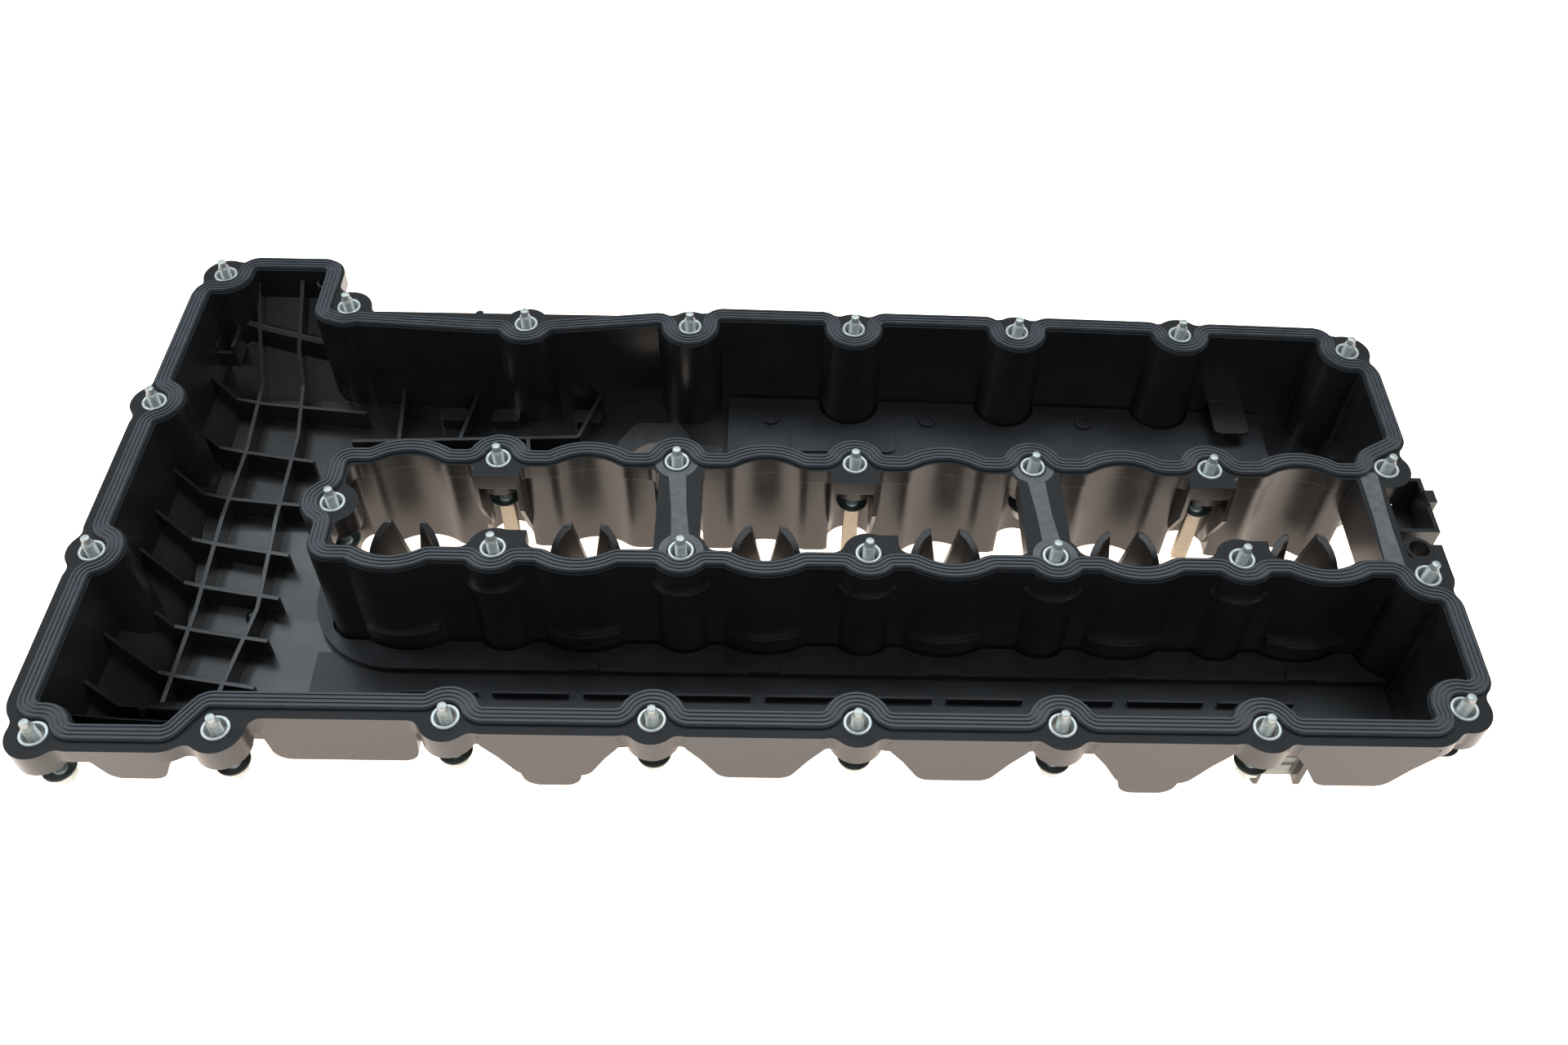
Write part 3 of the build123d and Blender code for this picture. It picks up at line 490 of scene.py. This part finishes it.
def thread_helix(name, top, turns):
    """A threaded rod: one tooth swept up a helix, each open end gathered to a point."""
    bpy.ops.object.select_all(action="DESELECT")
    bpy.ops.mesh.primitive_plane_add(size=mm)
    rod = bpy.context.object
    rod.name = name
    mesh = edit(rod)
    mesh.verts.ensure_lookup_table()
    tooth = [(root_radius, 0.0), (root_radius, 0.12), (thread_radius, 0.44), (thread_radius, 0.56)]
    bottom = top - (turns + 1) * pitch
    for vertex in list(mesh.verts):
        mesh.verts.remove(vertex)
    ring = [mesh.verts.new((r * mm, 0.0, (bottom + h * pitch) * mm)) for r, h in tooth]
    ring.append(mesh.verts.new((root_radius * mm, 0.0, (bottom + 0.88 * pitch) * mm)))
    ring.append(mesh.verts.new((root_radius * mm, 0.0, (bottom + pitch) * mm)))
    for low, high in zip(ring, ring[1:]):
        mesh.edges.new((low, high))
    bmesh.update_edit_mesh(rod.data)
    leave_edit()
    screw = rod.modifiers.new("helix", "SCREW")
    screw.axis = "Z"
    screw.steps = screw.render_steps = 20
    screw.screw_offset = pitch * mm
    screw.iterations = turns
    screw.use_merge_vertices = True
    screw.merge_threshold = weld_distance / 2
    apply_modifiers(rod)
    edit(rod)
    bpy.ops.mesh.select_all(action="SELECT")
    bpy.ops.mesh.remove_doubles(threshold=weld_distance)
    for end_high in (False, True):
        bpy.ops.mesh.select_mode(type="EDGE")
        bpy.ops.mesh.select_all(action="DESELECT")
        mesh = bmesh.from_edit_mesh(rod.data)
        middle = (bottom + (turns + 1) * pitch / 2) * mm
        for edge in mesh.edges:
            if edge.is_boundary and (edge.verts[0].co.z > middle) == end_high:
                edge.select_set(True)
        bmesh.update_edit_mesh(rod.data)
        bpy.ops.mesh.extrude_edges_move()
        bpy.ops.mesh.merge(type="CENTER")
    bpy.ops.mesh.select_all(action="SELECT")
    bpy.ops.mesh.normals_make_consistent(inside=False)
    leave_edit()
    return rod


thread = thread_helix("thread", thread_top, thread_turns)
print("thread faces", len(thread.data.polygons))

# %% [markdown]
# The turned parts: the pilot tip with its lead-in, the plain shank, and the cupped washer. The washer is
# hollow side up with a rolled rim, and dips round the shank.

# %% Pilot, shank and washer
shoulder = tip - pilot_length
pilot = lathe(
    "pilot",
    [
        (0.0, tip), (pilot_radius - 0.55, tip),
        (pilot_radius - 0.2, tip - 0.15), (pilot_radius, tip - 0.55),
        (pilot_radius, shoulder), (thread_radius - 0.15, shoulder - 1.0),
        (root_radius, shoulder - 1.7), (0.0, shoulder - 1.7),
    ],
    24,
)
shank = lathe(
    "shank",
    [
        (0.0, thread_end + 1.2), (root_radius - 0.05, thread_end + 1.2),
        (shank_radius, thread_end + 0.6), (shank_radius, washer_low + 1.7),
        (collar_radius, washer_low + 1.1), (collar_radius, washer_low + 0.2), (0.0, washer_low + 0.2),
    ],
    24,
)
rim = washer_radius
washer = lathe(
    "washer",
    [
        (washer_bore, washer_top - 2.5), (3.6, washer_top - 2.35),
        (4.4, washer_top - 1.7), (5.6, washer_top - 1.15),
        (rim - 0.9, washer_top - 0.2), (rim - 0.55, washer_top), (rim - 0.15, washer_top - 0.12),
        (rim, washer_top - 0.5), (rim - 0.1, washer_top - 0.95), (rim - 0.7, washer_top - 1.4),
        (rim * 0.62, washer_top - 2.6), (rim * 0.5, washer_low), (washer_bore, washer_low),
    ],
    40,
)
print("turned faces", [len(part.data.polygons) for part in (pilot, shank, washer)])

# %% [markdown]
# The hexagon starts as a six-sided cylinder. Its lower face is inset and pushed down for the chamfer, inset
# again and pushed in for the shallow dish that a forged head has.

# %% Hexagon head


def hexagon_head(low, high):
    """A hexagon between two heights, with a chamfer and a shallow dish on its lower face."""
    chamfer, chamfer_width, land, dish_slope, dish = 0.6, 0.75, 1.1, 0.5, 0.5
    bpy.ops.object.select_all(action="DESELECT")
    bpy.ops.mesh.primitive_cylinder_add(
        vertices=6,
        radius=across_flats / 2 / math.cos(math.pi / 6) * mm,
        depth=(high - low - chamfer) * mm,
        location=(0, 0, (high + low + chamfer) / 2 * mm),
    )
    head = bpy.context.object
    bpy.ops.object.transform_apply(location=True, rotation=True, scale=True)
    edit(head)
    pick_faces(head, lambda centre, normal: normal.z < -level)
    bpy.ops.mesh.inset(thickness=chamfer_width * mm)
    bpy.ops.transform.translate(value=(0, 0, -chamfer * mm))
    bpy.ops.mesh.inset(thickness=land * mm)
    bpy.ops.mesh.inset(thickness=dish_slope * mm)
    bpy.ops.transform.translate(value=(0, 0, dish * mm))
    leave_edit()
    return bevelled(head, 0.22, 2, 20)


hexagon = hexagon_head(head_low, washer_low + 0.1)
print("head faces", len(hexagon.data.polygons))

# %% [markdown]
# Three bolts of the far valley row carry a stud post instead, for clips that hold the wiring. It flares out
# under the washer and then runs down as a flat bar with rounded edges.

# %% Stud post
flare = lathe(
    "flare",
    [
        (0.0, washer_low + 0.15), (5.5, washer_low + 0.15),
        (5.6, washer_low - 0.5), (5.2, washer_low - 1.2), (4.3, washer_low - 3.0),
        (3.9, washer_low - 4.2), (3.6, washer_low - 4.6), (0.0, washer_low - 4.6),
    ],
    32,
)


def flat_post(high, low):
    """A flat bar between two heights, with a shallow hollow pressed into each broad side."""
    hollow_margin, waist = 1.5, 0.8
    middle = (0, 0, (high + low) / 2 * mm)
    bpy.ops.object.select_all(action="DESELECT")
    bpy.ops.mesh.primitive_cube_add(size=mm, location=middle)
    post = bpy.context.object
    post.scale = (post_width, post_thickness, high - low)
    bpy.ops.object.transform_apply(location=True, rotation=True, scale=True)
    edit(post)
    pick_faces(post, lambda centre, normal: normal.z < -level)
    bpy.ops.mesh.inset(thickness=0.8 * mm)
    pick_faces(post, lambda centre, normal: abs(normal.y) > level)
    bpy.ops.mesh.inset(thickness=hollow_margin * mm)
    bpy.ops.transform.resize(value=(1, waist, 1), center_override=middle)
    leave_edit()
    return bevelled(post, 0.6, 3, 50)


post = flat_post(washer_low - 3.6, post_low.z / mm)
print("post from", round(post_low.z / mm, 2))

# %% [markdown]
# The parts are joined into two patterns, a plain bolt and a stud bolt. Each site gets a copy with its own
# mesh. The bolts hang loosely in their sleeves, so every plain copy leans by up to two degrees or so about
# a point in its sleeve. A seeded generator gives the amounts, in the same order each time. The stud bolts
# stand upright.

# %% Join the patterns
for part, material in (
    (thread, zinc_plate), (pilot, zinc_plate), (shank, zinc_plate), (hexagon, zinc_plate),
    (washer, dark_phosphate), (flare, warm_chromate), (post, warm_chromate),
):
    part.data.materials.clear()
    part.data.materials.append(material)


def duplicate(obj):
    twin = obj.copy()
    twin.data = obj.data.copy()
    scene.collection.objects.link(twin)
    return twin


stud_parts = [duplicate(part) for part in (thread, pilot, shank, washer)]
stud_pattern = joined("stud_pattern", stud_parts + [flare, post])
plain_pattern = joined("plain_pattern", [thread, pilot, shank, washer, hexagon])
for pattern in (plain_pattern, stud_pattern):
    smooth(pattern, 32)
print("plain", len(plain_pattern.data.polygons), "stud", len(stud_pattern.data.polygons))

# %% Hang a bolt at each site
lean = random.Random(31)
largest_lean = math.radians(2.2)
hang_height = joint_face - 7.0 * mm
post_reach = 5 * mm
sites = {}
for body in frame["bodies"]:
    if not body.startswith("bolt_"):
        continue
    low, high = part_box(body)
    sites[body] = Vector(((low.x + high.x) / 2, (low.y + high.y) / 2, 0.0))
for body, site in sorted(sites.items()):
    low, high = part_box(body)
    has_post = low.z < head_low * mm - post_reach
    hung = duplicate(stud_pattern if has_post else plain_pattern)
    hung.name = "captive_" + body
    turn = 0.0 if has_post else lean.uniform(0, math.pi / 3)
    drawn_lean = lean.uniform(0.2, 1.0) * largest_lean
    tilt_direction = lean.uniform(0, 2 * math.pi)
    tilt_size = 0.0 if has_post else drawn_lean
    tilt_axis = Vector((math.cos(tilt_direction), math.sin(tilt_direction), 0.0))
    pivot = Matrix.Translation((0, 0, hang_height))
    leaning = pivot @ Matrix.Rotation(tilt_size, 4, tilt_axis) @ pivot.inverted()
    hung.data.transform(Matrix.Translation(site) @ leaning @ Matrix.Rotation(turn, 4, "Z"))
    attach(hung, body)
    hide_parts(body)
for pattern in (plain_pattern, stud_pattern):
    bpy.data.objects.remove(pattern)
print("bolts hung", len(sites))

# %% [markdown]
# ## Sleeves
# A steel sleeve lines each boss and stops the plastic from being crushed. It stands a little proud of the
# joint face, with a chamfer outside and in. One ring is turned, then copied to every site and joined.

# %% Turn and place the sleeves
ring_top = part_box("sleeves")[1].z / mm
ring_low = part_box("sleeves")[0].z / mm
outer, inner = 6.4, 4.9
ring = lathe(
    "ring",
    [
        (inner, ring_low + 0.3), (inner + 0.3, ring_low), (outer - 0.3, ring_low), (outer, ring_low + 0.3),
        (outer, ring_top - 0.35), (outer - 0.12, ring_top - 0.12), (outer - 0.35, ring_top),
        (inner + 0.35, ring_top), (inner + 0.12, ring_top - 0.12), (inner, ring_top - 0.35),
    ],
    48,
)
ring.data.materials.append(sleeve_steel)
rings = []
for body, site in sorted(sites.items()):
    copy = duplicate(ring)
    copy.data.transform(Matrix.Translation(site))
    rings.append(copy)
bpy.data.objects.remove(ring)
sleeves = smooth(joined("steel_sleeves", rings), 40)
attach(sleeves, "cover")
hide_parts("sleeves")
print("sleeve faces", len(sleeves.data.polygons))

# %% [markdown]
# ## Retaining clip
# A spring steel strap runs through two moulded cheeks under the near rail. It starts as a flat cube. Its
# middle is stiffened with a pressed bead, and all its edges are softened.

# %% Shape the clip
clip_low, clip_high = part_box("retaining_clip")
clip_centre = (clip_low + clip_high) / 2
strap_thickness = 1.6 * mm
bead_half_width, bead_half_height, bead_depth = 7 * mm, 4.5 * mm, 1.2 * mm
bpy.ops.object.select_all(action="DESELECT")
bpy.ops.mesh.primitive_cube_add(
    size=1.0, location=(clip_centre.x, clip_centre.y + strap_thickness / 2, clip_centre.z)
)
clip = bpy.context.object
clip.name = "spring_clip"
clip.scale = (clip_high.x - clip_low.x, strap_thickness, clip_high.z - clip_low.z)
bpy.ops.object.transform_apply(location=True, rotation=True, scale=True)
edit(clip)
bpy.ops.mesh.select_all(action="SELECT")
bpy.ops.mesh.subdivide(number_cuts=3)


def in_bead(centre, normal):
    beside = abs(centre.x - clip_centre.x) < bead_half_width
    return normal.y < -level and beside and abs(centre.z - clip_centre.z) < bead_half_height


pick_faces(clip, in_bead)
bpy.ops.mesh.inset(thickness=1.2 * mm)
bpy.ops.transform.translate(value=(0, -bead_depth, 0))
leave_edit()
bevelled(clip, 0.35, 3, 25)
clip.data.materials.clear()
clip.data.materials.append(clip_steel)
smooth(clip, 30)
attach(clip, "cover")
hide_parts("retaining_clip")
print("clip", [round(v, 4) for v in clip_centre])

# %% [markdown]
# ## Floor, light and camera
# The cover lies on a glowing white table, whose warm light gives its outer walls their taupe sheen. Three
# soft panels, above, at the left and in front, and a dim pale room add cooler reflections. The camera
# looks down at fifty degrees from in front, with a moderately wide lens.

# %% Floor, just under the feet
floor_size, floor_height = 8.0, -0.0004
bpy.ops.object.select_all(action="DESELECT")
bpy.ops.mesh.primitive_plane_add(size=floor_size, location=(0, 0, floor_height))
floor = bpy.context.object
floor.name = "floor"
white = bpy.data.materials.new("white floor")
white.use_nodes = True
white_shader = white.node_tree.nodes["Principled BSDF"]
white_shader.inputs["Base Color"].default_value = (0.9, 0.9, 0.9, 1)
white_shader.inputs["Roughness"].default_value = 0.7
white_shader.inputs["Emission Color"].default_value = (1.0, 0.82, 0.69, 1)
white_shader.inputs["Emission Strength"].default_value = 1.9
floor.data.materials.append(white)

# %% Lights
scene.view_settings.view_transform = "Standard"


def soft_panel(name, place, size, power):
    """A cool area light that faces the origin."""
    light = bpy.data.lights.new(name, "AREA")
    light.shape = "RECTANGLE"
    light.size, light.size_y = size
    light.energy = power
    light.color = (0.86, 0.94, 1.0)
    panel = bpy.data.objects.new(name, light)
    panel.location = place
    panel.rotation_euler = (-Vector(place)).to_track_quat("-Z", "Y").to_euler()
    scene.collection.objects.link(panel)


soft_panel("panel_above", (0.1, 0.55, 1.25), (1.8, 0.5), 14.0)
soft_panel("panel_left", (-1.1, 0.1, 1.0), (0.5, 0.9), 6.0)
soft_panel("panel_front", (0.3, -1.1, 1.1), (1.4, 0.4), 5.0)
world = bpy.data.worlds.new("bright room")
world.use_nodes = True
background = world.node_tree.nodes["Background"]
background.inputs["Color"].default_value = (0.94, 0.97, 1.0, 1)
background.inputs["Strength"].default_value = 0.22
scene.world = world

# %% Camera
camera_place = Vector((-0.00049, -0.47774, 0.61855))
tilt, roll, yaw = math.radians(50.28), math.radians(1.63), math.radians(0.97)
forward = Vector((math.sin(yaw) * math.cos(tilt), math.cos(yaw) * math.cos(tilt), -math.sin(tilt)))
sideways = Vector((math.cos(yaw), -math.sin(yaw), 0.0))
upright = sideways.cross(forward)
right = math.cos(roll) * sideways + math.sin(roll) * upright
upward = math.cos(roll) * upright - math.sin(roll) * sideways
lens = bpy.data.cameras.new("lens")
lens.lens = 32.81
lens.sensor_width = 36.0
lens.clip_start = 0.02
camera = bpy.data.objects.new("camera", lens)
turn_matrix = Matrix((right, upward, -forward)).transposed().to_4x4()
camera.matrix_world = Matrix.Translation(camera_place) @ turn_matrix
scene.collection.objects.link(camera)
scene.camera = camera
print("camera at", [round(v, 3) for v in camera.location])
